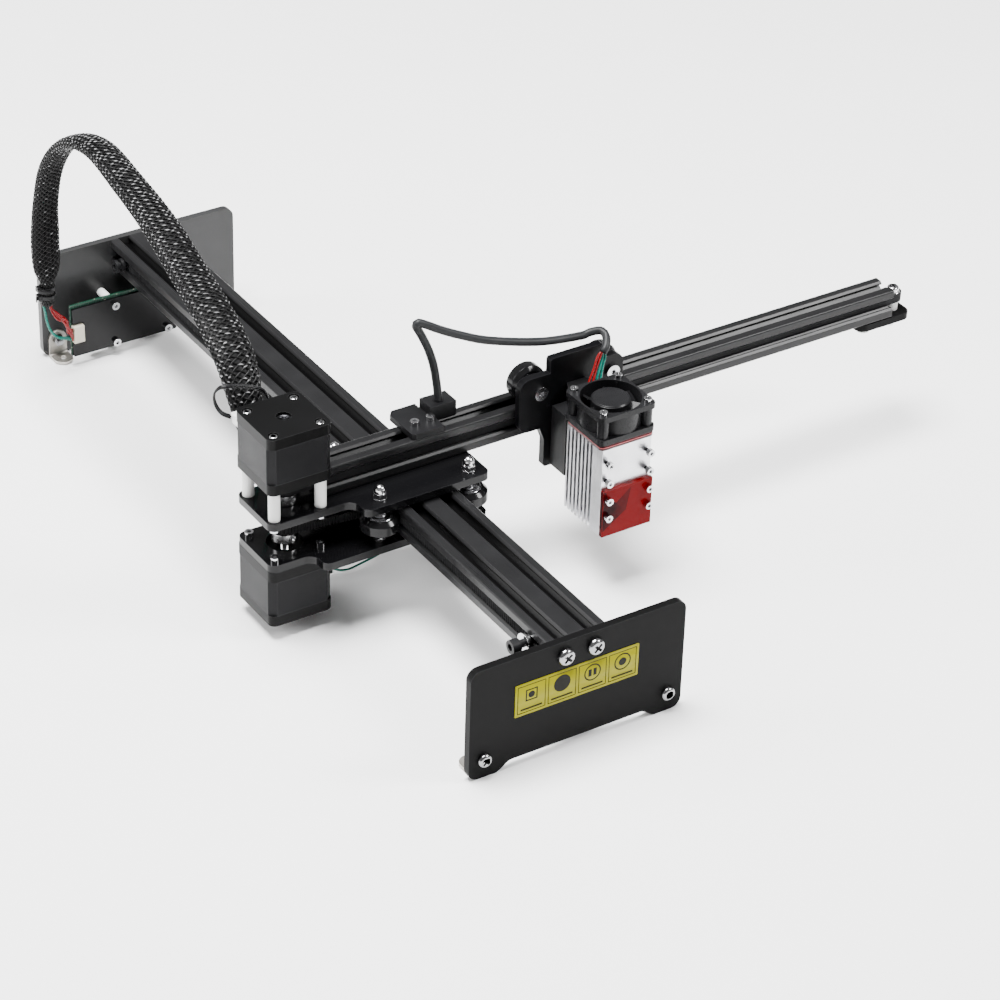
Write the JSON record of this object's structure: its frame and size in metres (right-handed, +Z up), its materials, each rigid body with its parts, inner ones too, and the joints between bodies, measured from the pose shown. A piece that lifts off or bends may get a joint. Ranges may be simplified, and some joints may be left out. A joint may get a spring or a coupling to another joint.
{
  "type": "desktop laser cutter",
  "caption": "Open-frame desktop laser cutter: an arm slides along a base rail on V wheels and carries a belt-driven laser head with a finned heatsink, fan and red shield.",
  "frame": {"origin": "centre of the rectangle of the four foot holes, at floor level", "axes": "+X along the arm from the base rail to its free end, +Y along the base rail away from the labelled front plate, +Z up"},
  "size_m": [0.4852, 0.5472, 0.207],
  "materials": {
    "black_anodised": "satin black anodised extrusion",
    "black_plate": "satin black powder coat",
    "black_acrylic": "polished black sheet",
    "steel": "zinc plated steel",
    "dark_steel": "black oxide steel",
    "nickel": "nickel plated, satin",
    "aluminium": "satin silver anodised",
    "white_nylon": "white moulded nylon",
    "black_plastic": "black moulded plastic",
    "gloss_black_plastic": "glossy black moulded wheel",
    "motor_steel": "laminated steel, dark lacquer",
    "motor_cap": "black painted casting",
    "belt_rubber": "toothed rubber belt",
    "cable_rubber": "grey cable jacket",
    "sleeve_fabric": "black braided mesh sleeve",
    "tie_plastic": "black nylon cable tie",
    "red_acrylic": "red see-through sheet",
    "gasket": "dark red plate",
    "label_yellow": "yellow panel with plain symbols",
    "pcb_green": "green circuit board",
    "cream_plastic": "cream connector plastic",
    "wire_red": "red and green wire insulation",
    "wire_green": "green wire insulation",
    "brass": "turned brass"
  },
  "bodies": {
    "base": {"base_rail": "black_anodised", "front_plate": "black_plate", "rear_plate": "black_plate", "rail_end_screws": "steel", "foot_brackets": "nickel", "foot_fasteners": "steel", "front_label": "label_yellow", "control_board": "pcb_green", "board_cover": "black_acrylic", "board_components": "cream_plastic", "board_standoffs": "dark_steel", "board_screws": "dark_steel", "board_wires": "wire_red", "cable_sleeve": "sleeve_fabric", "cable_ties": "tie_plastic", "y_belt": "belt_rubber", "y_belt_fixings": "steel"},
    "y_carriage": {"top_plate": "black_acrylic", "bottom_plate": "black_acrylic", "arm_rail": "black_anodised", "arm_fixings": "steel", "wheel_axles": "steel", "wheel_spacers": "aluminium", "wheel_bearings": "steel", "acorn_nuts": "steel", "motor_standoffs": "white_nylon", "motor_fixings": "steel", "motor_bodies": "motor_steel", "motor_caps": "motor_cap", "motor_bearings": "steel", "motor_leads": "wire_green", "x_belt": "belt_rubber", "idler_bracket": "black_plate", "idler_fixings": "steel", "cable_clamp": "black_plastic"},
    "x_carriage": {"x_carriage_plate": "black_acrylic", "height_guide": "black_anodised", "x_axle_parts": "steel", "laser_cable": "cable_rubber"},
    "laser": {"slide_block": "black_plastic", "heatsink": "aluminium", "gasket_plate": "gasket", "red_shield": "red_acrylic", "laser_screws": "steel", "diode_module": "brass", "fan_frame": "black_plastic"},
    "fan": {"fan_rotor": "black_plastic"},
    "lock": {"lock_knob": "black_plastic"},
    "y_drive": {"y_rotor": "steel", "y_pulley": "aluminium"},
    "x_drive": {"x_rotor": "steel", "x_pulley": "aluminium"},
    "idler": {"idler_pulley": "aluminium"},
    "y_roller_1": {"y_wheel_1": "gloss_black_plastic"},
    "y_roller_2": {"y_wheel_2": "gloss_black_plastic"},
    "y_roller_3": {"y_wheel_3": "gloss_black_plastic"},
    "y_roller_4": {"y_wheel_4": "gloss_black_plastic"},
    "x_roller_1": {"x_wheel_1": "gloss_black_plastic"},
    "x_roller_2": {"x_wheel_2": "gloss_black_plastic"},
    "x_roller_3": {"x_wheel_3": "gloss_black_plastic"}
  },
  "joints": [
    {"name": "y_slide", "type": "slide", "parent": "base", "child": "y_carriage", "axis": [0, 1, 0], "range_m": [-0.105, 0.277], "deforming": ["y_belt", "cable_sleeve"]},
    {"name": "x_slide", "type": "slide", "parent": "y_carriage", "child": "x_carriage", "axis": [1, 0, 0], "range_m": [-0.035, 0.205], "deforming": ["x_belt", "laser_cable"]},
    {"name": "laser_height", "type": "slide", "parent": "x_carriage", "child": "laser", "axis": [0, 0, 1], "range_m": [-0.012, 0.015]},
    {"name": "lock_turn", "type": "hinge", "parent": "laser", "child": "lock", "pos_m": [0.1353, -0.0963, 0.084], "axis": [1, 0, 0], "range_deg": [-90, 90]},
    {"name": "fan_spin", "type": "hinge", "parent": "laser", "child": "fan", "pos_m": [0.1133, -0.128, 0.109], "axis": [0, 0, 1], "continuous": true},
    {"name": "y_wheel_turn_1", "type": "hinge", "parent": "y_carriage", "child": "y_roller_1", "pos_m": [-0.0307, -0.1015, 0.065], "axis": [0, 0, 1], "range_deg": [-1500, 1500]},
    {"name": "y_wheel_turn_2", "type": "hinge", "parent": "y_carriage", "child": "y_roller_2", "pos_m": [0.0307, -0.1015, 0.065], "axis": [0, 0, 1], "range_deg": [-1500, 1500]},
    {"name": "y_wheel_turn_3", "type": "hinge", "parent": "y_carriage", "child": "y_roller_3", "pos_m": [-0.0307, -0.0485, 0.065], "axis": [0, 0, 1], "range_deg": [-1500, 1500]},
    {"name": "y_wheel_turn_4", "type": "hinge", "parent": "y_carriage", "child": "y_roller_4", "pos_m": [0.0307, -0.0485, 0.065], "axis": [0, 0, 1], "range_deg": [-1500, 1500]},
    {"name": "x_wheel_turn_1", "type": "hinge", "parent": "x_carriage", "child": "x_roller_1", "pos_m": [0.0873, -0.075, 0.1127], "axis": [0, 1, 0], "range_deg": [-1200, 1200]},
    {"name": "x_wheel_turn_2", "type": "hinge", "parent": "x_carriage", "child": "x_roller_2", "pos_m": [0.1393, -0.075, 0.1127], "axis": [0, 1, 0], "range_deg": [-1200, 1200]},
    {"name": "x_wheel_turn_3", "type": "hinge", "parent": "x_carriage", "child": "x_roller_3", "pos_m": [0.1133, -0.075, 0.0713], "axis": [0, 1, 0], "range_deg": [-1200, 1200]},
    {"name": "y_motor_turn", "type": "hinge", "parent": "y_carriage", "child": "y_drive", "pos_m": [-0.08, -0.075, 0.04], "axis": [0, 0, 1], "range_deg": [-2600, 2600]},
    {"name": "x_motor_turn", "type": "hinge", "parent": "y_carriage", "child": "x_drive", "pos_m": [-0.08, -0.075, 0.11], "axis": [0, 0, 1], "range_deg": [-1900, 1900]},
    {"name": "idler_turn", "type": "hinge", "parent": "y_carriage", "child": "idler", "pos_m": [0.369, -0.075, 0.1], "axis": [0, 0, 1], "range_deg": [-2400, 2400]}
  ],
  "couplings": [
    {"joint": "y_wheel_turn_1", "follows": "y_slide", "rad_per_m": -90.909},
    {"joint": "y_wheel_turn_2", "follows": "y_slide", "rad_per_m": 90.909},
    {"joint": "y_wheel_turn_3", "follows": "y_slide", "rad_per_m": -90.909},
    {"joint": "y_wheel_turn_4", "follows": "y_slide", "rad_per_m": 90.909},
    {"joint": "x_wheel_turn_1", "follows": "x_slide", "rad_per_m": 90.909},
    {"joint": "x_wheel_turn_2", "follows": "x_slide", "rad_per_m": 90.909},
    {"joint": "x_wheel_turn_3", "follows": "x_slide", "rad_per_m": -90.909},
    {"joint": "y_motor_turn", "follows": "y_slide", "rad_per_m": 157},
    {"joint": "x_motor_turn", "follows": "x_slide", "rad_per_m": 157},
    {"joint": "idler_turn", "follows": "x_slide", "rad_per_m": 200}
  ]
}
